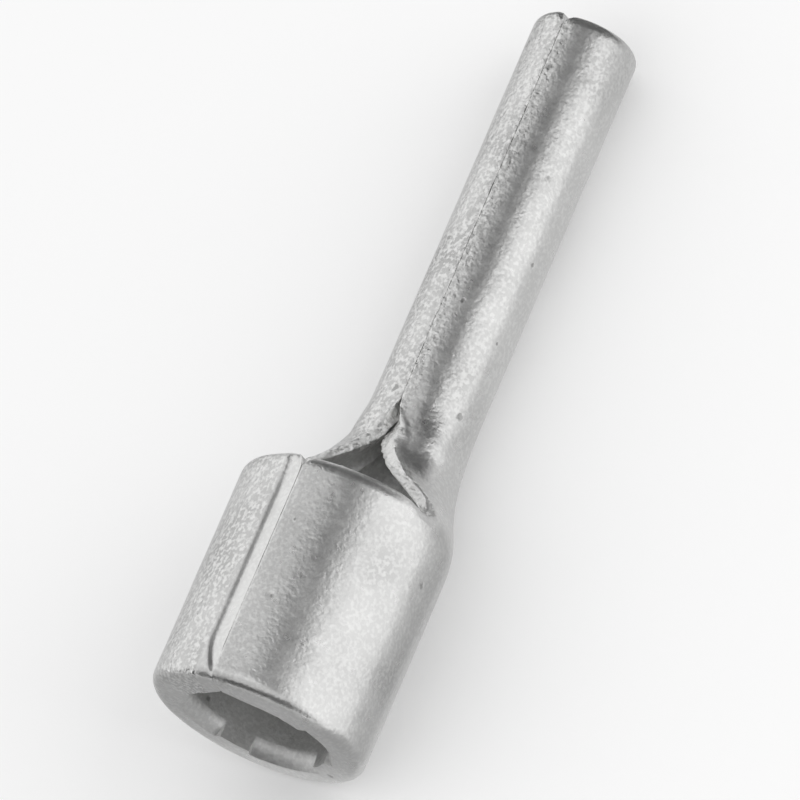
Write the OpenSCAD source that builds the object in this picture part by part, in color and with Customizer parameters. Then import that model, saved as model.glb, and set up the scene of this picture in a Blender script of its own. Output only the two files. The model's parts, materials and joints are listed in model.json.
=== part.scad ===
// Bare crimp pin terminal, rolled from one T shaped blank of tinned copper sheet.
// The wide end of the blank closes into the wire barrel, the narrow end into the pin.
// Sizes are in millimetres. The terminal lies on its straight bottom line with the seam up,
// the barrel mouth at the -X end and the pin tip at the +X end.

/* [Sheet] */
// Thickness of the sheet
sheet_t = 1.0; // [0.8:0.05:1.1]
// Rounding that the blanking die leaves on the outer edges
edge_round = 0.3; // [0.1:0.05:0.35]
// Thickness left at the coined edges that meet in the seam
edge_t = 0.45; // [0.4:0.05:0.7]
// Width of the bevel that the coining leaves on the inner face
bevel_w = 0.8; // [0.4:0.1:1.2]
// Rounding of the outer corners of the blank, seen on the flat
corner_round = 0.2; // [0.1:0.05:0.3]
// Rounding of the inner corners of the blank, where the barrel meets the neck
throat_round = 0.65; // [0.5:0.05:1.2]

/* [Terminal] */
// Length from the barrel mouth to the pin tip
overall_len = 20.7; // [16:0.1:26]

/* [Barrel] */
// Outside diameter of the wire barrel
barrel_od = 5.7; // [5:0.1:6.4]
// Length of the wire barrel along its top
barrel_len = 6.35; // [5:0.1:8]
// Rounding of the outer edge of the mouth
mouth_round = 0.15; // [0.05:0.05:0.3]
// Rise of the peak inside the barrel where the two rolled edges meet
peak_rise = 0.28; // [0.1:0.02:0.4]
// Width of that peak
peak_w = 1.4; // [0.8:0.1:1.8]

/* [Pin] */
// Outside diameter of the rolled pin
pin_od = 2.8; // [2.6:0.1:3.2]
// Rounding of the end of the pin
tip_round = 0.35; // [0.1:0.05:0.5]
// Rounding left on the two edges along the pin after sizing
pin_lip = 0.08; // [0.06:0.02:0.3]

/* [Neck] */
// Distance behind the front rim of the barrel where its lower wall starts to draw in
neck_lead = 1.7; // [0.8:0.1:2]
// Distance past the front rim where the pin is fully round
neck_reach = 4.5; // [3.5:0.1:5.5]
// Distance past the front rim where the cut edges start to fold inwards
fold_lead = 0.14; // [0.02:0.01:0.2]
// Length over which the cut edges fold inwards
fold_len = 1.0; // [0.5:0.05:1.4]
// Angle by which the cut edges stand up as a lip round the opening of the neck
lip_turn = 48; // [20:2:60]
// Width of the lip along the cut edge
lip_w = 0.5; // [0.4:0.05:0.8]
// Distance past the front rim where the lip has turned up
lip_rise = 1.2; // [0.8:0.1:1.6]
// Distance past the front rim up to which the lip stands
lip_hold = 1.85; // [1.3:0.05:2.2]
// Length over which the lips go down into the round of the pin
lip_fall = 0.5; // [0.4:0.05:0.9]

/* [Seam] */
// Gap between the two edges along the barrel
barrel_gap = 0.06; // [0.04:0.01:0.15]
// Gap between the two edges along the pin
pin_gap = 0.06; // [0.04:0.01:0.15]

/* [Serrations] */
// Depth of the grip pockets inside the barrel
pocket_depth = 0.3; // [0.1:0.05:0.4]
// Width of a pocket along the barrel
pocket_w = 0.55; // [0.3:0.05:0.8]
// Spacing of the rows of pockets along the barrel
pocket_pitch = 1.7; // [1.2:0.1:2.4]
// Distance of the first row from the mouth
pocket_first = 0.25; // [0.2:0.05:1]
// Angle that one pocket covers
pocket_arc = 60; // [40:2:70]
// Angle from one pocket to the next
pocket_step = 86; // [76:2:100]

/* [Hidden] */
$fn = 64;

// How far one solid runs into the next, and how far it stays under the other's skin
lap = 0.2;
skin = 0.01;
// How far a cutting shape stands clear of what it cuts
clear = 1;

barrel_r = barrel_od / 2;
bore_r = barrel_r - sheet_t;
pin_r = pin_od / 2;

neck_start = barrel_len - neck_lead;
neck_end = barrel_len + neck_reach;
fold_start = barrel_len + fold_lead;
fold_end = fold_start + fold_len;
// Where the two lips meet
lips_meet = barrel_len + lip_hold + 0.2;

// Half widths of the blank, measured on the outer face from its bottom line
strip_half = PI * pin_r - (pin_gap / 2 + skin) * pin_r / (pin_r - edge_t);
wing_half = PI * barrel_r - skin;
// Width of the wing beside the strip that follows the strip's fold
wing_follow = 1.2;
// How far the quick fold of the cut edges spreads towards the bottom line, less is further
fold_spread = 0.4;

// Steps across the strip, its lip and one wing, round a rounded edge and along the sheet
strip_steps = 12;
lip_steps = 2;
wing_steps = 10;
round_steps = 3;
lead_steps = 5;
throat_steps = 8;
meet_steps = 10;
neck_steps = 6;

pocket_rows = floor((neck_start - pocket_first - pocket_w / 2) / pocket_pitch) + 1;

tin = [0.78, 0.79, 0.80];

function smooth(t) = let (c = min(max(t, 0), 1)) c * c * (3 - 2 * c);

// Half width of the strip at station x, with the rounded inner corner of the blank beside the rim
function strip_w(x) = let (in = min(max(1 - (x - barrel_len) / throat_round, 0), 1))
    strip_half + throat_round * (1 - sqrt(1 - in ^ 2));

// Rounding of the cut edge at station x, less along the pin than at the barrel
function edge_r(x) = edge_round + (pin_lip - edge_round) * smooth((x - barrel_len) / neck_reach);

// Distance on the blank from station x and place w to the nearest cut edge of the neck
function edge_distance(x, w) =
    norm([max(barrel_len + throat_round - x, 0), max(strip_half + throat_round - w, 0)]) - throat_round;

// Depth of the outer face and of the inner face there, below the plain outer surface
function outer_depth(x, w) = let (r = edge_r(x), in = max(r - edge_distance(x, w), 0))
    r - sqrt(r ^ 2 - min(in, r) ^ 2);
function inner_depth(x, w) = sheet_t - (sheet_t - edge_t) * max(1 - edge_distance(x, w) / bevel_w, 0);

// Distance from a rounded edge at step k of its arc, as a share of the rounding
function arc_in(k) = 1 - sin(90 * k / round_steps);

lip_cols = strip_steps + lip_steps;
strip_cols = lip_cols + round_steps;
wing_cols = strip_cols + wing_steps;

// Place of column i across half the blank: over the strip, its lip, its rounded edge, then one wing
function place(x, i) =
    i <= strip_steps ? (strip_w(x) - lip_w) * i / strip_steps :
    i <= lip_cols ? strip_w(x) - lip_w + (lip_w - edge_r(x)) * (i - strip_steps) / lip_steps :
    i <= strip_cols ? strip_w(x) - edge_r(x) * arc_in(i - lip_cols) :
    strip_w(x) + (wing_half - strip_w(x)) * (i - strip_cols) / wing_steps;

// Ends of the inner corner of the blank and of the lips
throat_end = barrel_len + throat_round;
meet_end = lips_meet + lip_fall;

// Stations along the sheet: up to the front rim, round the inner corner, past the lips, then into the pin
along = concat(
    [neck_start - lap],
    [for (i = [0 : lead_steps - 1]) neck_start + (neck_lead - edge_round) * i / lead_steps],
    [for (k = [0 : round_steps]) barrel_len - edge_round * arc_in(k)],
    [for (i = [1 : throat_steps]) barrel_len + throat_round * (1 - cos(90 * i / throat_steps))],
    [for (i = [1 : meet_steps]) throat_end + (meet_end - throat_end) * i / meet_steps],
    [for (i = [1 : neck_steps]) meet_end + (neck_end - meet_end) * i / neck_steps],
    [neck_end + lap]);
rim_row = 1 + lead_steps + round_steps;
last_row = len(along) - 1;

// How far the section at station x has closed at a place w, from 0 in the barrel to 1 in the pin.
// The middle draws in slowly over the whole neck, the cut edges fold in quickly past the rim.
function curl(x, w) =
    let (share = (w / strip_w(x)) ^ fold_spread,
         from = neck_start + (fold_start - neck_start) * share,
         to = neck_end + (fold_end - neck_end) * share)
    smooth((x - from) / (to - from));

// Curvature that turns the lip up, most at the cut edge itself
function flare(x, w) =
    let (up = smooth((x - barrel_len) / lip_rise) * (1 - smooth((x - barrel_len - lip_hold) / lip_fall)))
    lip_turn * PI / 180 * up * 2 / lip_w * max(1 - (strip_w(x) - w) / lip_w, 0);

function bend(x, w) = 1 / barrel_r + (1 / pin_r - 1 / barrel_r) * curl(x, w) - flare(x, w);

// Half a section of the strip as [y, z, slope], run out from the bottom line
function strip_run(x, i, y, z, a) = i == strip_cols ? [[y, z, a]] :
    let (w = place(x, i),
         dw = place(x, i + 1) - w,
         turn = bend(x, w + dw / 2) * dw * 180 / PI,
         chord = dw * cos(turn / 4))
    concat([[y, z, a]],
        strip_run(x, i + 1, y + chord * cos(a + turn / 2), z + chord * sin(a + turn / 2), a + turn));

// How far the cut edge moves in so that the edges meet past the lips, and never cross
function closing(x, edge) =
    let (apart = edge[0] - edge_t * max(sin(edge[2]), 0) - pin_gap / 2)
    apart > 0 ? apart * smooth((x - lips_meet) / lip_fall) : apart;

// Half a section of the strip with its cut edge moved in
function closed_strip(x) =
    let (strip = strip_run(x, 0, 0, 0, 0), in = closing(x, strip[strip_cols]))
    [for (i = [0 : strip_cols]) strip[i] - [in * smooth(2 * place(x, i) / strip_w(x) - 1), 0, 0]];

// The plain barrel section at a place w across the blank
function barrel_at(w) =
    let (a = w / barrel_r * 180 / PI) [barrel_r * sin(a), barrel_r * (1 - cos(a)), a];

// Half a section with the wings, which bend down beside the strip to stay joined to it
function half_section(x, whole) =
    let (strip = closed_strip(x),
         shift = strip[strip_cols] - barrel_at(strip_w(x)))
    whole ? concat(strip,
        [for (i = [strip_cols + 1 : wing_cols]) let (w = place(x, i))
            barrel_at(w) + shift * smooth(1 - (w - strip_w(x)) / wing_follow)]) : strip;

// A point of the sheet, pushed in from its outer face by a depth
function sheet_point(x, s, side, depth) =
    [x, side * (s[0] - depth * sin(s[2])), s[1] + depth * cos(s[2])];

function cols(j) = j <= rim_row ? wing_cols : strip_cols;

// Outer and inner points of every station, from the left edge of the blank to the right
neck_points = [for (j = [0 : last_row])
    let (x = along[j], half = half_section(x, j <= rim_row))
    for (i = [-cols(j) : cols(j)], face = [0, 1])
        let (w = place(x, abs(i)),
             depth = face == 0 ? outer_depth(x, w) + skin : inner_depth(x, w) - skin)
        sheet_point(x, half[abs(i)], i < 0 ? -1 : 1, depth)];

// Outline of the space that the rolled sheet leaves inside the pin
pin_core = let (half = half_section(neck_end, false))
    [for (i = [-strip_cols : strip_cols])
        let (depth = inner_depth(neck_end, place(neck_end, abs(i))),
             p = sheet_point(0, half[abs(i)], i < 0 ? -1 : 1, depth))
        [p[1], p[2]]];

function row_start(j) = j <= rim_row ? j * (4 * wing_cols + 2) :
    (rim_row + 1) * (4 * wing_cols + 2) + (j - rim_row - 1) * (4 * strip_cols + 2);
function outer(j, i) = row_start(j) + 2 * (i + cols(j));
function inner(j, i) = outer(j, i) + 1;

function quad(a, b, c, d) = [[a, b, c], [a, c, d]];
function end_cap(j, i) = quad(outer(j, i), inner(j, i), inner(j, i + 1), outer(j, i + 1));
function start_cap(i) = quad(outer(0, i), outer(0, i + 1), inner(0, i + 1), inner(0, i));
function right_side(j, i) = quad(outer(j, i), outer(j + 1, i), inner(j + 1, i), inner(j, i));
function left_side(j, i) = quad(outer(j + 1, i), outer(j, i), inner(j, i), inner(j + 1, i));
function skin_cells(j, i) = concat(
    quad(outer(j, i), outer(j + 1, i), outer(j + 1, i + 1), outer(j, i + 1)),
    quad(inner(j, i), inner(j, i + 1), inner(j + 1, i + 1), inner(j + 1, i)));

neck_faces = [for (part = concat(
    [for (j = [0 : last_row - 1], i = [-cols(j + 1) : cols(j + 1) - 1]) skin_cells(j, i)],
    [for (i = [-wing_cols : wing_cols - 1]) start_cap(i)],
    [for (i = [-strip_cols : strip_cols - 1]) end_cap(last_row, i)],
    [for (i = [strip_cols : wing_cols - 1]) concat(end_cap(rim_row, i), end_cap(rim_row, -i - 1))],
    [for (j = [0 : last_row - 1])
        concat(right_side(j, cols(j + 1)), left_side(j, -cols(j + 1)))])) for (face = part) face];

// The drawn-in end of the barrel and the open neck, one run of sheet
module neck() {
    polyhedron(points = neck_points, faces = neck_faces, convexity = 8);
}

// Turns a shape revolved about Z so that it lies along X, with angle 0 at the top, in the seam
module lying(height) {
    translate([0, 0, height]) rotate([0, 90, 0]) rotate([0, 0, 180]) children();
}

// Section of a tube wall with its outer corner rounded at the start or the end
module wall(r_in, r_out, from, to, round_at, r) {
    way = round_at == from ? 1 : -1;
    difference() {
        translate([r_in, from]) square([r_out - r_in, to - from]);
        difference() {
            translate([r_out - r, min(round_at, round_at + way * r)]) square([clear, r]);
            translate([r_out - r, round_at + way * r]) circle(r);
        }
    }
}

// Space between two edges a gap apart whose lips are rounded by r at the height 0
module lips(gap, r, deep) {
    translate([-gap / 2, -deep]) square([gap, deep + clear]);
    difference() {
        translate([-gap / 2 - r + skin, -r]) square([gap + 2 * (r - skin), r + clear]);
        for (side = [-1, 1]) translate([side * (gap / 2 + r - skin), -r]) circle(r);
    }
}

// Seam from one station to another under a top line, between edges rounded by r
module seam(gap, r, deep, from, to, top) {
    translate([from, 0, top]) rotate([90, 0, 90]) linear_extrude(to - from) lips(gap, r, deep);
}

// Notch at an end of a seam, where two rounded corners of the blank meet
module corner_notch(gap, at, way, top, deep) {
    translate([at, 0, top - deep]) rotate([0, 0, -90 * way])
        linear_extrude(deep + clear) lips(gap, corner_round, corner_round);
}

// One row of pockets inside the barrel: at the bottom and on both sides
module pocket_row() {
    for (k = [-1 : 1])
        rotate([0, 0, 180 + k * pocket_step - pocket_arc / 2])
            rotate_extrude(angle = pocket_arc)
                translate([bore_r - pocket_depth, -pocket_w / 2]) square([2 * pocket_depth, pocket_w]);
}

// Peak inside the barrel below the seam
module peak() {
    side_z = sqrt(bore_r ^ 2 - (peak_w / 2) ^ 2);
    fall = (bore_r + peak_rise - side_z) / (peak_w / 2);
    reach = peak_w / 2 + skin;
    rotate([90, 0, 90]) linear_extrude(barrel_len + clear)
        polygon([[-reach, bore_r + peak_rise - fall * reach], [reach, bore_r + peak_rise - fall * reach],
            [0, bore_r + peak_rise]]);
}

module barrel() {
    difference() {
        union() {
            lying(barrel_r) rotate_extrude()
                wall(bore_r, barrel_r, 0, neck_start, 0, mouth_round);
            neck();
        }
        seam(barrel_gap, edge_round, 2 * sheet_t, -clear, barrel_len + clear / 2, barrel_od);
        corner_notch(barrel_gap, 0, -1, barrel_od, 1.5 * sheet_t);
        corner_notch(barrel_gap, barrel_len, 1, barrel_od, 1.5 * sheet_t);
        translate([-clear / 2, 0, barrel_r]) peak();
        for (row = [0 : pocket_rows - 1])
            lying(barrel_r) translate([0, 0, pocket_first + row * pocket_pitch]) pocket_row();
    }
}

module pin() {
    pin_len = overall_len - neck_end;
    difference() {
        lying(pin_r) rotate_extrude() wall(0, pin_r, neck_end, overall_len, overall_len, tip_round);
        translate([neck_end - clear, 0, 0]) rotate([90, 0, 90])
            linear_extrude(pin_len + 2 * clear) polygon(pin_core);
        seam(pin_gap, pin_lip, pin_r, neck_end - clear, overall_len + clear, pin_od);
        corner_notch(pin_gap, overall_len, 1, pin_od, pin_r);
    }
}

module terminal() {
    color(tin) translate([-overall_len / 2, 0, 0]) {
        barrel();
        pin();
    }
}

terminal();
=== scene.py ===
import json
import math

import bpy
import numpy as np
from mathutils import Matrix, Vector, noise


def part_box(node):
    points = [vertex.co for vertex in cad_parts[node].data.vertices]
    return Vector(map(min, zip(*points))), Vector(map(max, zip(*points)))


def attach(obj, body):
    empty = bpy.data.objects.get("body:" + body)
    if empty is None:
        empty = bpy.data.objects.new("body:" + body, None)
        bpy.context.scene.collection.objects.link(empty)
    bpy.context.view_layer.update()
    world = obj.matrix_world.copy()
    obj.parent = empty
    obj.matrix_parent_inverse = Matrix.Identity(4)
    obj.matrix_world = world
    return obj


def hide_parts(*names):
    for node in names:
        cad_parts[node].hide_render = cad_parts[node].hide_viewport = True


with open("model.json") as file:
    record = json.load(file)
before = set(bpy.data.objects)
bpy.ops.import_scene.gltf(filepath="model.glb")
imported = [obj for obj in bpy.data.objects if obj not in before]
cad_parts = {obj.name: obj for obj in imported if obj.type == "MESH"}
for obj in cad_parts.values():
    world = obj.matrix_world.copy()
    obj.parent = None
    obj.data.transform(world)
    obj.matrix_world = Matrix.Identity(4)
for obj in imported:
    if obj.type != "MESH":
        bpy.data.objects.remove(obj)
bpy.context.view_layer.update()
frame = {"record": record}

# Sizes of the terminal are in millimetres, and stations along it are counted from its mouth.
# Where the two halves of the sheet differ, side 1 is the +Y half and side -1 the -Y half.
MM = 0.001
MOUNTS = {mount["name"]: mount["dims"] for mount in frame["record"]["mounts"]}
TERMINAL_LO, TERMINAL_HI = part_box("terminal")

# The sheet, and the bevel that thins it towards its cut edges
SHEET_T = 1.0
EDGE_T = 0.45
BEVEL_W = 0.8

# Corners of the flat blank: at the front of the barrel, at the mouth, at the tip, and inside at the throat
CORNER_ROUND = 0.5
MOUTH_CORNER = 0.06
TIP_CORNER = 0.45
THROAT_ROUND = 0.65

# Roundings of the outer edges: front rim, mouth, tip, lips of the neck, where these meet, and along the pin
EDGE_ROUND = 0.38
MOUTH_ROUND = 0.32
TIP_ROUND = 0.35
LIP_ROUND = 0.14
MEET_ROUND = 0.2
PIN_LIP = 0.015

# Gaps of the seam along the barrel and along the pin
BARREL_GAP = 0.0015
PIN_GAP = 0.004

LENGTH = (TERMINAL_HI[0] - TERMINAL_LO[0]) / MM
BORE_R = MOUNTS["wire_barrel"]["r_mm"]
BARREL_R = BORE_R + SHEET_T
PIN_R = MOUNTS["pin"]["r_mm"]

# Stations where the lower wall starts to draw in, of the front rim, and where the pin is fully round
NECK_START = MOUNTS["wire_barrel"]["length_mm"]
NECK_LEAD = 1.7
BARREL_LEN = NECK_START + NECK_LEAD
NECK_END = LENGTH - TIP_ROUND - MOUNTS["pin"]["length_mm"]

# The fold of the neck: where it starts at the cut edges, its length there, how it spreads towards the
# bottom line, and the width of the barrel's wall that follows it
FOLD_START = BARREL_LEN + 0.14
FOLD_LEN = {1: 1.73, -1: 1.37}
FOLD_SPREAD = 0.4
WING_FOLLOW = 1.2

# The lips that stand up along the cut edges of the neck: their width, thickness and turn, how much the
# turn grows, and the distances past the front rim over which they rise, stand and go down
LIP_W = 0.5
LIP_T = {1: 0.31, -1: 0.6}
LIP_TURN = {1: math.radians(30), -1: math.radians(58)}
LIP_GAIN = {1: 2.0, -1: 1.35}
LIP_RISE = 1.2
LIP_HOLD = 1.8
LIP_FALL = 1.6

# The hollow beside the lips: its turn, its place in lip widths from the edge, and how it goes down
LIP_DIP = math.radians(12)
DIP_PLACE = 1.5
DIP_FALL = 2.4

# Where the lips meet, how softly they come together and fade, and how far towards +Y
LIPS_MEET = BARREL_LEN + 2.15
MEET_RUN = 0.6
MEET_SOFT = 0.15
MEET_FADE = 0.8
MEET_SIDE = 0.08
SIDE_FADE = 1.3

# The seam along the barrel: a pressed line beside it on the +Y side, which meets it at the mouth,
# a smooth land between the two, and a peak inside
SEAM_LAND = 0.36
SEAM_DEPTH = 0.08
SEAM_WALL = 0.13
SEAM_SLOPE = 0.21
SEAM_BEND = 1.1
SEAM_ROUND = 0.015
PEAK_RISE = 0.28
PEAK_W = 1.4

# The +Y corner of the seam that stands up at the front rim: height, reach along the barrel, middle, width
RAISE = 0.07
RAISE_REACH = 1.1
RAISE_Y = 0.4
RAISE_W = 0.7

# The grip pockets inside the barrel, in rows along it, at the bottom and at both sides
POCKET_DEPTH = 0.28
POCKET_W = 0.5
POCKET_ROWS = (0.225, 1.925, 3.625)
POCKET_ANGLES = (0, math.radians(86))
POCKET_ARC = math.radians(60)
POCKET_WALL = 0.05

# How far the mouth is cut out of square, and how far along the barrel that reaches
MOUTH_SKEW = 0.033
SKEW_REACH = 3.0

# How much further the +Y half of the tip stands out, how softly, and how far along the pin that reaches
TIP_LEAD = 0.09
TIP_LEAD_W = 0.4
TIP_LEAD_REACH = 1.5

# Waves of the whole surface and crinkles of the cut edges, each with a height and a frequency, and how
# much less the edges along the pin are crinkled
WAVES = ((0.007, 0.7), (0.003, 1.9))
CRINKLES = ((0.03, 6.5), (0.04, 12))
PIN_SMOOTHER = 0.6

# Bands of tumbling marks and of painted glints, as angles from the top towards +Y with their strength,
# how softly they end, and their share on the -Y half of the barrel
MARK_AND_GLINT_BANDS = ((-12, 45, 1.0), (-66, -34, 0.15))
MARK_AND_GLINT_BLUR = 14
MARK_AND_GLINT_BARREL = 0.2

# The larger dents that the photo shows: station, angle from the top towards +Y, and radius
DENTS = (
    (9.63, -66.5, 0.12),
    (12.42, -20.5, 0.07),
    (14.13, -76, 0.07),
    (11.82, -74, 0.05),
    (4.56, -8.5, 0.05),
)

# Half widths of the blank, measured on its outer face from the bottom line
STRIP_HALF = math.pi * PIN_R - PIN_GAP / 2 * PIN_R / (PIN_R - EDGE_T)
WING_HALF = math.pi * BARREL_R - BARREL_GAP / 2

# Mesh steps along and across the blank, the finer band along its cut edges, and the angle of a sharp edge
BARREL_STEP = 0.1
NECK_STEP = 0.065
PIN_STEP = 0.12
CROSS_STEP = 0.1
FINE_STEP = 0.035
FINE_BAND = 0.55
ARC_STEPS = 6
EDGE_RINGS = 3
SHARP = math.radians(42)


def smooth(t):
    c = np.clip(t, 0, 1)
    return c * c * (3 - 2 * c)


def rounding(distance, r):
    """Depth of a surface beside an edge that is rounded by r."""
    inside = np.clip(r - distance, 0, r)
    return r - np.sqrt(r ** 2 - inside ** 2)


def arc_steps(r):
    """Distances from an edge that step evenly round its rounding."""
    return r * (1 - np.cos(np.linspace(0, math.pi / 2, ARC_STEPS + 1)))


def run(start, stop, step):
    return np.linspace(start, stop, max(2, round((stop - start) / step) + 1))


def walls(edges):
    """A pair of lines at each pocket edge, for its steep wall."""
    return np.array([edge + side * POCKET_WALL / 2 for edge in edges for side in (-1, 1)])


def thinned(values, keep):
    """Sorted lines, without those that crowd the ones to keep."""
    free = [v for v in values if np.min(np.abs(np.asarray(keep) - v)) > 0.5 * FINE_STEP]
    return np.unique(np.round(np.concatenate([free, keep]), 5))


def strip_w(x):
    """Half width of the strip, wider at the throat and with rounded corners at the tip."""
    inside = np.clip(1 - (x - BARREL_LEN) / THROAT_ROUND, 0, 1)
    tip = rounding(LENGTH - x, TIP_CORNER)
    return STRIP_HALF + THROAT_ROUND * (1 - np.sqrt(1 - inside ** 2)) - tip


def wing_w(x):
    """Half width of the wide end, with its rounded corners."""
    return WING_HALF - rounding(x, MOUTH_CORNER) - rounding(BARREL_LEN - x, CORNER_ROUND)


def edge_distance(x, w):
    """Distance on the blank to the nearest cut edge of the throat and the strip."""
    back = np.maximum(BARREL_LEN + THROAT_ROUND - x, 0)
    aside = np.maximum(STRIP_HALF + THROAT_ROUND - w, 0)
    return np.hypot(back, aside) - THROAT_ROUND


def edge_r(x):
    """Rounding of the cut edge: soft at the rim, less on the lips, more where they meet, least on the pin."""
    on_lip = EDGE_ROUND + (LIP_ROUND - EDGE_ROUND) * smooth((x - BARREL_LEN) / THROAT_ROUND)
    at_meet = on_lip + (MEET_ROUND - on_lip) * smooth(1 + (x - LIPS_MEET) / MEET_RUN)
    return at_meet + (PIN_LIP - at_meet) * smooth((x - LIPS_MEET) / MEET_FADE)


def edge_t(x, side):
    """Thickness of the cut edge, which differs between the two lips of the neck."""
    on_lip = smooth((x - BARREL_LEN) / THROAT_ROUND) * (1 - smooth((x - LIPS_MEET) / MEET_FADE))
    return EDGE_T + (LIP_T[side] - EDGE_T) * on_lip


def pocket(x, angle):
    """Share of the pocket depth at a station and an angle from the bottom, deepest towards the mouth."""
    along = 0
    for row in POCKET_ROWS:
        from_wall = x - row + POCKET_W / 2
        ramp = np.clip(1 - from_wall / POCKET_W, 0, 1)
        along = max(along, ramp ** 2 * smooth(from_wall / POCKET_WALL + 0.5))
    reach = POCKET_WALL / BORE_R
    round_it = [smooth((POCKET_ARC / 2 - np.abs(angle - at)) / reach + 0.5) for at in POCKET_ANGLES]
    return along * np.max(round_it, axis=0)


def seam_depth(x, w, side):
    """Depth of the surface beside the seam of the barrel."""
    from_edge = WING_HALF - w
    if side < 0:
        return rounding(from_edge, SEAM_ROUND)
    to_line = SEAM_LAND * smooth(x / SEAM_BEND) - from_edge
    return SEAM_DEPTH * smooth(1 + to_line / SEAM_WALL) - SEAM_SLOPE * np.maximum(to_line, 0)


def outer_depth(x, w, barrel, side):
    """Depth of the outer face below the plain outer surface."""
    depth = rounding(edge_distance(x, w), edge_r(x))
    depth = np.maximum(depth, rounding(x, MOUTH_ROUND))
    depth = np.maximum(depth, rounding(LENGTH - x, TIP_ROUND))
    return np.maximum(depth, seam_depth(x, w, side)) if barrel else depth


def inner_depth(x, w, barrel, side):
    """Depth of the inner face below the plain outer surface, with the peak and the pockets of the barrel."""
    bevel = np.maximum(1 - np.maximum(edge_distance(x, w), 0) / BEVEL_W, 0)
    depth = SHEET_T - (SHEET_T - edge_t(x, side)) * bevel
    if not barrel:
        return depth
    side_z = math.sqrt(BORE_R ** 2 - (PEAK_W / 2) ** 2)
    fall = (BORE_R + PEAK_RISE - side_z) / (PEAK_W / 2)
    from_top = np.maximum(math.pi - w / BARREL_R, 0)
    near = from_top < math.pi / 4
    roof = np.where(near, (BORE_R + PEAK_RISE) / (np.cos(from_top) + fall * np.sin(from_top)), BORE_R)
    depth = np.minimum(depth, BARREL_R - np.maximum(roof, BORE_R))
    return depth - POCKET_DEPTH * pocket(x, w / BARREL_R)


def curl(x, w, side):
    """Share of the way from the bend of the barrel to that of the pin, sooner at the cut edges."""
    share = (w / strip_w(x)) ** FOLD_SPREAD
    start = NECK_START + (FOLD_START - NECK_START) * share
    stop = NECK_END + (FOLD_START + FOLD_LEN[side] - NECK_END) * share
    return smooth((x - start) / (stop - start))


def flare(x, w, side):
    """Bend that turns the lips up, with the hollow beside them."""
    past = x - BARREL_LEN
    up = smooth(past / LIP_RISE)
    turn = LIP_TURN[side] * (1 + (LIP_GAIN[side] - 1) * smooth(past / LIP_RISE - 1))
    turn = turn * (1 - smooth((past - LIP_HOLD) / LIP_FALL))
    dip = LIP_DIP * (1 - smooth((past - LIP_HOLD) / DIP_FALL))
    from_edge = (strip_w(x) - w) / LIP_W
    lip_share = np.maximum(1 - from_edge, 0)
    dip_share = np.maximum(1 - np.abs(from_edge - DIP_PLACE), 0) / 2
    return (turn * lip_share - dip * dip_share) * up * 2 / LIP_W


def closing(x, edge_y, edge_a, side):
    """How far the cut edge moves in so that the edges come together softly, and never cross."""
    if x > NECK_END:
        return 0
    aside = side * MEET_SIDE * (1 - smooth((x - LIPS_MEET) / SIDE_FADE))
    apart = edge_y - edge_t(x, side) * max(math.sin(edge_a), 0) - PIN_GAP / 2 - aside
    soft = MEET_SOFT * smooth((LIPS_MEET - x) / MEET_RUN)
    meet = smooth((x - LIPS_MEET) / MEET_FADE)
    return apart - (apart + math.hypot(apart, soft)) / 2 * (1 - meet)


def section(x, w, strip_cols, side):
    """Half a section of the sheet as y, z and slope at each place w, run out from the bottom line."""
    strip = w[:strip_cols + 1]
    dw = np.diff(strip)
    middle = strip[:-1] + dw / 2
    bend = 1 / BARREL_R + (1 / PIN_R - 1 / BARREL_R) * curl(x, middle, side) - flare(x, middle, side)
    turn = bend * dw
    a = np.concatenate([[0], np.cumsum(turn)])
    y = np.concatenate([[0], np.cumsum(dw * np.cos(a[:-1] + turn / 2))])
    z = np.concatenate([[0], np.cumsum(dw * np.sin(a[:-1] + turn / 2))])
    y = y - closing(x, y[-1], a[-1], side) * smooth(2 * strip / strip[-1] - 1)
    angle = w / BARREL_R
    barrel = np.stack([BARREL_R * np.sin(angle), BARREL_R * (1 - np.cos(angle)), angle])
    shift = np.array([y[-1], z[-1], a[-1]]) - barrel[:, strip_cols]
    follow = smooth(1 - (w[strip_cols + 1:] - w[strip_cols]) / WING_FOLLOW)
    wing = barrel[:, strip_cols + 1:] + shift[:, None] * follow
    return np.concatenate([np.stack([y, z, a]), wing], axis=1)


def stations():
    """Rows along the blank, and the row of the front rim of the barrel."""
    barrel = thinned(
        np.concatenate([run(MOUTH_ROUND, BARREL_LEN - EDGE_ROUND, BARREL_STEP), arc_steps(MOUTH_ROUND)]),
        walls([row + side * POCKET_W / 2 for row in POCKET_ROWS for side in (-1, 1)][1:]))
    barrel = barrel[barrel < BARREL_LEN - EDGE_ROUND]
    rim = BARREL_LEN - arc_steps(EDGE_ROUND)[::-1]
    throat = BARREL_LEN + arc_steps(THROAT_ROUND)[1:]
    neck = run(BARREL_LEN + THROAT_ROUND, NECK_END, NECK_STEP)[1:]
    pin = run(NECK_END, LENGTH - TIP_ROUND, PIN_STEP)[1:]
    tip = LENGTH - arc_steps(TIP_ROUND)[::-1][1:]
    rows = np.concatenate([barrel, rim, throat, neck, pin, tip])
    return rows, len(barrel) + len(rim) - 1


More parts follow.
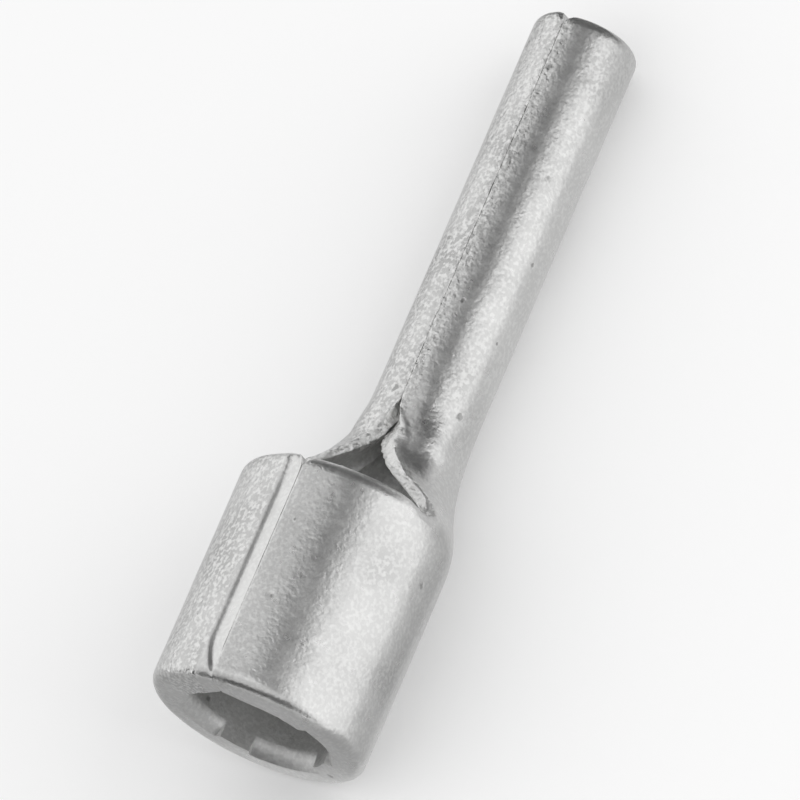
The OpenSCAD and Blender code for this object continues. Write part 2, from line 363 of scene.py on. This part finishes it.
def columns():
    """Columns across half the blank: shares of the strip, distances from its edge, shares of the wing."""
    strip = STRIP_HALF + THROAT_ROUND
    inner = strip - FINE_BAND
    arcs = [BARREL_R * (at + side * POCKET_ARC / 2) for at in POCKET_ANGLES for side in (-1, 1)]
    inner_walls = walls([arc for arc in arcs if 0 < arc < inner])
    wing_walls = walls([arc for arc in arcs if arc > inner])
    shares = thinned(run(0, inner, CROSS_STEP), inner_walls) / inner
    lips = np.concatenate([run(FINE_BAND, EDGE_ROUND, FINE_STEP)[1:], arc_steps(EDGE_ROUND)[::-1][1:]])
    seam = WING_HALF - SEAM_LAND - SEAM_WALL
    wing = thinned(run(strip, seam, CROSS_STEP)[1:], wing_walls)
    wing = np.concatenate([wing, run(seam, WING_HALF, FINE_STEP)[1:]])
    return shares, lips, (wing - strip) / (WING_HALF - strip)


def sheet_grid():
    """Outer and inner points of the folded sheet for each row, the row of the rim, and half column counts."""
    rows, rim_row = stations()
    shares, lips, wings = columns()
    strip_cols = len(shares) + len(lips) - 1
    grid = []
    for j, x in enumerate(rows):
        barrel = j <= rim_row
        edge = strip_w(x)
        w = np.concatenate([shares * (edge - FINE_BAND), edge - lips])
        if barrel:
            w = np.concatenate([w, edge + wings * (wing_w(x) - edge)])
        faces = []
        for depth_at in (outer_depth, inner_depth):
            halves = []
            for side in (-1, 1):
                y, z, a = section(x, w, strip_cols, side)
                depth = depth_at(x, w, barrel, side)
                halves.append((side * (y - depth * np.sin(a)), z + depth * np.cos(a)))
            full_y, full_z = (np.concatenate([near[:0:-1], far]) for near, far in zip(*halves))
            skew = MOUTH_SKEW * full_y * (1 - smooth(x / SKEW_REACH))
            lead = TIP_LEAD * smooth(full_y / TIP_LEAD_W) * smooth(1 - (LENGTH - x) / TIP_LEAD_REACH)
            faces.append(np.stack([x + skew + lead, full_y, full_z], axis=1))
        on_edge = 0 * w if barrel else smooth(2 - 2 * (edge - w) / edge_r(x))
        grid.append((faces, np.concatenate([on_edge[:0:-1], on_edge])))
    return grid, rim_row, strip_cols, strip_cols + len(wings)


def raise_corner(points):
    """Lifts the +Y lip of the seam a little at the front end of the barrel."""
    x, y, z = points.T
    near = smooth(1 - np.abs(BARREL_LEN - x) / RAISE_REACH) * smooth(1 - np.abs(y - RAISE_Y) / RAISE_W)
    points[:, 2] += RAISE * near * (z > BARREL_R) * (x <= BARREL_LEN) * (y > 0)


def sheet_mesh():
    """Vertices in millimetres, faces, and two values of each vertex: how far it is on a cut edge, and
    whether it is on the inner face, with 1 in the barrel and 2 beyond its front rim."""
    grid, rim_row, strip_cols, wing_cols = sheet_grid()
    last = len(grid) - 1
    cols = [wing_cols if j <= rim_row else strip_cols for j in range(last + 1)]
    points, cut, inside, starts, count = [], [], [], [], 0
    for j, (faces, on_edge) in enumerate(grid):
        starts.append((count, count + len(on_edge)))
        points.extend(faces)
        cut.extend([on_edge, 0 * on_edge])
        inside.extend([0 * on_edge, 0 * on_edge + (1 if j <= rim_row else 2)])
        count += 2 * len(on_edge)

    def at(face, j, i):
        return starts[j][face] + i + cols[j]

    faces = []
    for j in range(last):
        for i in range(-cols[j + 1], cols[j + 1]):
            corner = [(j, i), (j + 1, i), (j + 1, i + 1), (j, i + 1)]
            faces.append([at(0, *c) for c in corner])
            faces.append([at(1, *c) for c in reversed(corner)])

    # The cut edge runs once round the blank, and rings of faces along it join the outer face to the inner one
    loop = [(0, i) for i in range(-wing_cols, wing_cols)]
    loop += [(j, wing_cols) for j in range(rim_row)]
    loop += [(rim_row, i) for i in range(wing_cols, strip_cols, -1)]
    loop += [(j, strip_cols) for j in range(rim_row, last)]
    loop += [(last, i) for i in range(strip_cols, -strip_cols, -1)]
    loop += [(j, -strip_cols) for j in range(last, rim_row, -1)]
    loop += [(rim_row, i) for i in range(-strip_cols, -wing_cols, -1)]
    loop += [(j, -wing_cols) for j in range(rim_row, 0, -1)]

    points = np.concatenate(points)
    outer = np.array([at(0, *place) for place in loop])
    inner = np.array([at(1, *place) for place in loop])
    rings = [outer]
    for k in range(1, EDGE_RINGS + 1):
        t = k / (EDGE_RINGS + 1)
        rings.append(np.arange(len(loop)) + len(points))
        points = np.concatenate([points, points[outer] * (1 - t) + points[inner] * t])
    rings.append(inner)
    for upper, lower in zip(rings, rings[1:]):
        for k in range(len(loop)):
            n = (k + 1) % len(loop)
            faces.append([upper[k], upper[n], lower[n], lower[k]])

    added = len(points) - count
    cut = np.append(np.concatenate(cut), np.ones(added))
    cut[np.concatenate(rings)] = 1
    inside = np.append(np.concatenate(inside), np.zeros(added))
    raise_corner(points)
    return points, faces, cut, inside


def signed_volume(points, faces):
    """Six times the volume, below zero where the faces look inwards."""
    quads = points[np.array(faces)]
    a, b, c, d = quads[:, 0], quads[:, 1], quads[:, 2], quads[:, 3]
    return float(np.sum(a * (np.cross(b, c) + np.cross(c, d))))


def unevenness(point, cut):
    """How far the rolled and tumbled surface stands off the true one at a point, in millimetres."""
    wave = sum(height * noise.noise(point * frequency) for height, frequency in WAVES)
    crinkle = sum(height * noise.noise(point * frequency) for height, frequency in CRINKLES)
    return wave + cut * crinkle


def band(angle, low, high, strength):
    return strength * smooth((angle - low) / MARK_AND_GLINT_BLUR + 0.5) * smooth((high - angle) / MARK_AND_GLINT_BLUR + 0.5)


def mark_and_glint_share(points):
    """Share of tumbling marks and of painted glints at each point, in bands along the top but not on the land
    beside the seam.
    """
    x, y, z = points.T
    axis_z = BARREL_R + (PIN_R - BARREL_R) * smooth((x - NECK_START) / (NECK_END - NECK_START))
    angle = np.degrees(np.arctan2(y, z - axis_z))
    marks = np.max([band(angle, *limits) for limits in MARK_AND_GLINT_BANDS], axis=0)
    past_line = smooth((y - SEAM_LAND) / SEAM_WALL - 1)
    return marks * np.where(x < BARREL_LEN, np.where(y < 0, MARK_AND_GLINT_BARREL, past_line), 1)


def land_sheen(points):
    """Share of the smooth land between the seam of the barrel and the pressed line beside it, where the tone
    holds a painted sheen.
    """
    x, y, z = points.T
    reach = SEAM_LAND * smooth(x / SEAM_BEND)
    on_top = (x < BARREL_LEN) & (y > 0) & (z > 2 * BARREL_R - SHEET_T / 2)
    return on_top * smooth((reach - y) / SEAM_WALL + 0.5)


def make_terminal(material):
    points, faces, cut, inside = sheet_mesh()
    if signed_volume(points, faces) < 0:
        faces = [face[::-1] for face in faces]
    mesh = bpy.data.meshes.new("folded_sheet")
    mesh.from_pydata(points.tolist(), [], faces)
    normals = [vertex.normal.copy() for vertex in mesh.vertices]
    x = points[:, 0]
    on_neck = (x > BARREL_LEN - EDGE_ROUND) & (x < LENGTH - TIP_ROUND)
    rough_edge = cut * on_neck * (1 - PIN_SMOOTHER * smooth((x - LIPS_MEET) / MEET_FADE))
    origin = Vector((TERMINAL_LO[0], 0, 0))
    for vertex, normal, edge in zip(mesh.vertices, normals, rough_edge):
        vertex.co = origin + (vertex.co + normal * unevenness(vertex.co, edge)) * MM
        vertex.co.z = max(vertex.co.z, 0)
    shares = {"cut": rough_edge, "mark_and_glint_share": mark_and_glint_share(points), "inside": inside, "land_sheen": land_sheen(points)}
    for name, values in shares.items():
        mesh.attributes.new(name, "FLOAT", "POINT").data.foreach_set("value", values)
    mesh.polygons.foreach_set("use_smooth", [True] * len(mesh.polygons))
    mesh.set_sharp_from_angle(angle=SHARP)
    mesh.materials.append(material)
    piece = bpy.data.objects.new("folded_sheet", mesh)
    bpy.context.collection.objects.link(piece)
    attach(piece, "root")
    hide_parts("terminal")


class Nodes:
    """A short way to write a node tree: each call adds a node and sets or links its inputs."""

    def __init__(self, tree):
        self.tree = tree
        tree.nodes.clear()

    def feed(self, socket, value):
        if isinstance(value, bpy.types.NodeSocket):
            self.tree.links.new(value, socket)
        else:
            socket.default_value = value

    def add(self, kind, settings=None, **inputs):
        node = self.tree.nodes.new(kind)
        for name, value in (settings or {}).items():
            setattr(node, name, value)
        for name, value in inputs.items():
            self.feed(node.inputs[name.replace("_", " ")], value)
        return node

    def calculate(self, kind, operation, *values):
        node = self.add(kind, {"operation": operation})
        for socket, value in zip(node.inputs, values):
            self.feed(socket, value)
        return node.outputs["Value"]

    def madd(self, value, factor, addend):
        return self.calculate("ShaderNodeMath", "MULTIPLY_ADD", value, factor, addend)

    def maximum(self, one, other):
        return self.calculate("ShaderNodeMath", "MAXIMUM", one, other)

    def distance(self, at, point):
        return self.calculate("ShaderNodeVectorMath", "DISTANCE", at, point)

    def ranged(self, value, source, target):
        """The value moved from one range to another, and kept inside that."""
        limits = dict(zip(("From_Min", "From_Max", "To_Min", "To_Max"), source + target))
        return self.add("ShaderNodeMapRange", Value=value, **limits).outputs["Result"]

    def attribute(self, name):
        return self.add("ShaderNodeAttribute", {"attribute_name": name}).outputs["Fac"]

    def noise(self, at, scale, detail, distortion=0.0):
        node = self.add("ShaderNodeTexNoise", Vector=at, Scale=scale, Detail=detail, Distortion=distortion)
        return node.outputs["Fac"]

    def bump(self, height, strength, distance, **normal):
        node = self.add("ShaderNodeBump", Height=height, Strength=strength, Distance=distance, **normal)
        return node.outputs["Normal"]


# Tones of the tin plate from dull to bright, and the place of the middle one between them
TIN_DULL = (0.46, 0.46, 0.455, 1)
TIN_PLAIN = (0.745, 0.745, 0.738, 1)
TIN_BRIGHT = (0.95, 0.95, 0.94, 1)
TIN_PLAIN_AT = 0.35


def dented(n, at, ragged):
    """Share of the larger dents at each place, with ragged outlines."""
    deep = 0.0
    for x, angle, size in DENTS:
        r = BARREL_R if x < BARREL_LEN else PIN_R
        turn = math.radians(angle)
        middle = Vector((x, r * math.sin(turn), r + r * math.cos(turn))) * MM + Vector((TERMINAL_LO[0], 0, 0))
        off = n.madd(ragged, -size * MM, n.distance(at, middle))
        dent = n.ranged(off, (-0.2 * size * MM, 0.5 * size * MM), (1.0, 0.0))
        deep = n.madd(dent, 1.0, deep)
    return deep


def tin_plate():
    """Satin tin plate with a sparkling grain, small pits and rougher cut edges."""
    material = bpy.data.materials.new("tin_plate")
    material.use_nodes = True
    n = Nodes(material.node_tree)
    at = n.add("ShaderNodeTexCoord").outputs["Object"]
    grain = n.noise(at, scale=8500, detail=1.0, distortion=0.2)
    crinkle = n.noise(at, scale=7500, detail=1.5)
    peel = n.noise(at, scale=2600, detail=2.0)
    cloud = n.noise(at, scale=420, detail=3.0)
    flecks = n.ranged(n.noise(at, scale=9500, detail=1.0), (0.45, 0.66), (-0.22, 0.55))
    cells = n.add("ShaderNodeTexVoronoi", Vector=at, Scale=800.0).outputs["Distance"]
    cut, marks, inside, land = (n.attribute(name) for name in ("cut", "mark_and_glint_share", "inside", "land_sheen"))
    deep = dented(n, at, crinkle)

    # Relief: each bump has a strength and a distance
    normal = n.bump(grain, n.ranged(marks, (0.0, 1.0), (0.26, 1.0)), 0.032 * MM)
    normal = n.bump(crinkle, n.ranged(cut, (0.0, 1.0), (0.0, 0.7)), 0.06 * MM, Normal=normal)
    normal = n.bump(peel, 0.07, 0.06 * MM, Normal=normal)
    normal = n.bump(n.ranged(cells, (0.05, 0.12), (0.0, 1.0)), 0.3, 0.03 * MM, Normal=normal)
    normal = n.bump(n.madd(deep, -1.0, 1.0), 0.3, 0.05 * MM, Normal=normal)

    # Tone: flecks on a slow cloud, which grow into painted glints in the bands of tumbling marks, brighter on
    # cut edges, a painted sheen on the smooth land, darker in pits and dents
    shine = n.madd(flecks, n.ranged(marks, (0.0, 0.5), (0.36, 1.0)), cloud)
    shine = n.madd(cut, 0.45, shine)
    shine = n.madd(land, 0.3, shine)
    shine = n.madd(n.ranged(cells, (0.04, 0.10), (1.0, 0.0)), -0.6, shine)
    shine = n.madd(deep, -0.8, shine)
    tone = n.add("ShaderNodeValToRGB", Fac=shine)
    tone.color_ramp.elements[0].color = TIN_DULL
    tone.color_ramp.elements[1].color = TIN_BRIGHT
    tone.color_ramp.elements.new(TIN_PLAIN_AT).color = TIN_PLAIN

    rough = n.madd(cut, 0.15, n.ranged(peel, (0.3, 0.7), (0.27, 0.38)))
    rough = n.madd(inside, 0.15, rough)

    shader = n.add("ShaderNodeBsdfPrincipled", Metallic=1.0, Normal=normal,
                   Base_Color=tone.outputs["Color"], Roughness=rough)
    n.add("ShaderNodeOutputMaterial", Surface=shader.outputs["BSDF"])
    return material


# The studio, in metres: the floor, the light of the world and what the camera and the metal see of it,
# and the lamp with the direction that it stands in
FLOOR_HALF = 0.6
FLOOR_GREY = 0.93
WORLD_LIGHT = 0.92
WORLD_SEEN = 1.0
LAMP_SIZE = 0.25
LAMP_POWER = 0.24
LAMP_FROM = (0.2, -0.8, 0.5)
LAMP_DISTANCE = 0.3

# Cards for the metal to reflect: name, half sizes, direction and distance from the terminal, and grey
FACING_CARDS = (
    ("overhead_card", 0.09, 0.035, (0.33, -0.346, 0.877), 0.15, 0.19),
    ("overhead_fill", 0.09, 0.036, (0.33, 0.10, 0.938), 0.16, 0.52),
    ("side_card", 0.16, 0.09, (0.33, 0.9, 0.35), 0.15, 0.82),
    ("end_card", 0.13, 0.075, (0.90, -0.05, 0.42), 0.14, 0.10),
    ("front_card", 0.18, 0.055, (-0.9, 0.0, 0.33), 0.15, 0.06),
)

# Level cards, each glowing at a fixed grey: painted shade in the metal's reflections, mostly of the floor
# near the terminal. Name, half sizes, place, and grey
LEVEL_CARDS = (
    ("end_floor_card", 0.031, 0.025, (0.045, 0.005, 0.0001), 0.10),
    ("floor_card", 0.055, 0.0305, (-0.005, 0.0235, 0.00005), 0.60),
    ("front_top_card", 0.0725, 0.19, (-0.0875, -0.03, 0.12), 0.58),
    ("edge_card", 0.0053, 0.0009, (-0.0062, -0.0038, 0.0001), 0.43),
    ("edge_fill", 0.0053, 0.0013, (-0.0062, -0.0060, 0.0001), 0.51),
    ("mouth_card", 0.014, 0.016, (-0.0248, 0.004, 0.0001), 0.38),
)


def plain_material(name, grey, shader="ShaderNodeBsdfDiffuse"):
    material = bpy.data.materials.new(name)
    material.use_nodes = True
    n = Nodes(material.node_tree)
    surface = n.add(shader, Color=(grey, grey, grey, 1)).outputs[0]
    n.add("ShaderNodeOutputMaterial", Surface=surface)
    return material


def flat_object(name, half_x, half_y, matrix, material):
    mesh = bpy.data.meshes.new(name)
    corners = [(-half_x, -half_y, 0), (half_x, -half_y, 0), (half_x, half_y, 0), (-half_x, half_y, 0)]
    mesh.from_pydata(corners, [], [(0, 1, 2, 3)])
    mesh.materials.append(material)
    obj = bpy.data.objects.new(name, mesh)
    obj.matrix_world = matrix
    bpy.context.collection.objects.link(obj)
    return obj


def facing(direction, distance, target):
    """Place of a flat card or lamp that looks at the target from a direction."""
    away = Vector(direction).normalized()
    turn = (-away).to_track_quat("-Z", "Y").to_matrix().to_4x4()
    return Matrix.Translation(target + away * distance) @ turn


def reflection_card(name, half_x, half_y, matrix, grey):
    """A studio card that glows at a fixed grey and that only the metal's reflections show: a painted
    reflection, with no light on anything else.
    """
    card = flat_object(name, half_x, half_y, matrix, plain_material(name, grey, "ShaderNodeEmission"))
    card.visible_camera = False
    card.visible_diffuse = False
    card.visible_shadow = False


def make_world():
    """White surroundings for the camera and the reflections, and an even light from all sides."""
    world = bpy.data.worlds.new("studio")
    bpy.context.scene.world = world
    world.use_nodes = True
    n = Nodes(world.node_tree)
    path = n.add("ShaderNodeLightPath").outputs
    seen = n.maximum(path["Is Camera Ray"], path["Is Glossy Ray"])
    seen = n.maximum(seen, path["Is Transmission Ray"])
    strength = n.ranged(seen, (0.0, 1.0), (WORLD_LIGHT, WORLD_SEEN))
    background = n.add("ShaderNodeBackground", Color=(1, 1, 1, 1), Strength=strength)
    n.add("ShaderNodeOutputWorld", Surface=background.outputs["Background"])


def make_studio(target):
    """A pale floor, one soft lamp, and grey cards for the metal to reflect."""
    flat_object("floor", FLOOR_HALF, FLOOR_HALF, Matrix.Identity(4), plain_material("pale_floor", FLOOR_GREY))
    lamp = bpy.data.lights.new("soft_lamp", "AREA")
    lamp.size = LAMP_SIZE
    lamp.energy = LAMP_POWER
    lamp_object = bpy.data.objects.new("soft_lamp", lamp)
    lamp_object.matrix_world = facing(LAMP_FROM, LAMP_DISTANCE, target)
    lamp_object.visible_glossy = False
    bpy.context.collection.objects.link(lamp_object)
    for name, half_x, half_y, direction, distance, grey in FACING_CARDS:
        reflection_card(name, half_x, half_y, facing(direction, distance, target), grey)
    for name, half_x, half_y, place, grey in LEVEL_CARDS:
        reflection_card(name, half_x, half_y, Matrix.Translation(place), grey)


# The camera: angles that tip and turn it about the terminal, its distance, and the image scale and centre
CAMERA_BACK = math.radians(19.418)
CAMERA_ASIDE = math.radians(32.492)
CAMERA_TURN = math.radians(66.58)
CAMERA_DISTANCE = 281.08
CAMERA_TARGET_Z = 2.0
IMAGE_SIZE = 800
IMAGE_SCALE = 40.179
IMAGE_CENTRE = (426.079, 381.859)
SENSOR = 36.0


def make_camera():
    toward = Vector((-math.sin(CAMERA_BACK),
                     -math.cos(CAMERA_BACK) * math.sin(CAMERA_ASIDE),
                     math.cos(CAMERA_BACK) * math.cos(CAMERA_ASIDE)))
    axis = Vector((1, 0, 0))
    axis = (axis - toward * axis.dot(toward)).normalized()
    across = axis.cross(toward)
    right = axis * math.cos(CAMERA_TURN) + across * math.sin(CAMERA_TURN)
    up = axis * math.sin(CAMERA_TURN) - across * math.cos(CAMERA_TURN)
    half = IMAGE_SIZE / 2
    offset = right * (IMAGE_CENTRE[0] - half) + up * (half - IMAGE_CENTRE[1])
    place = Vector((0, 0, CAMERA_TARGET_Z)) + toward * CAMERA_DISTANCE - offset / IMAGE_SCALE
    data = bpy.data.cameras.new("camera")
    data.sensor_width = SENSOR
    data.lens = IMAGE_SCALE * CAMERA_DISTANCE * SENSOR / IMAGE_SIZE
    camera = bpy.data.objects.new("camera", data)
    turn = Matrix((right, up, toward)).transposed().to_4x4()
    camera.matrix_world = Matrix.Translation(place * MM) @ turn
    bpy.context.collection.objects.link(camera)
    bpy.context.scene.camera = camera


make_terminal(tin_plate())
make_world()
make_studio(Vector((0, 0, CAMERA_TARGET_Z * MM)))
make_camera()
bpy.context.scene.view_settings.view_transform = "Standard"
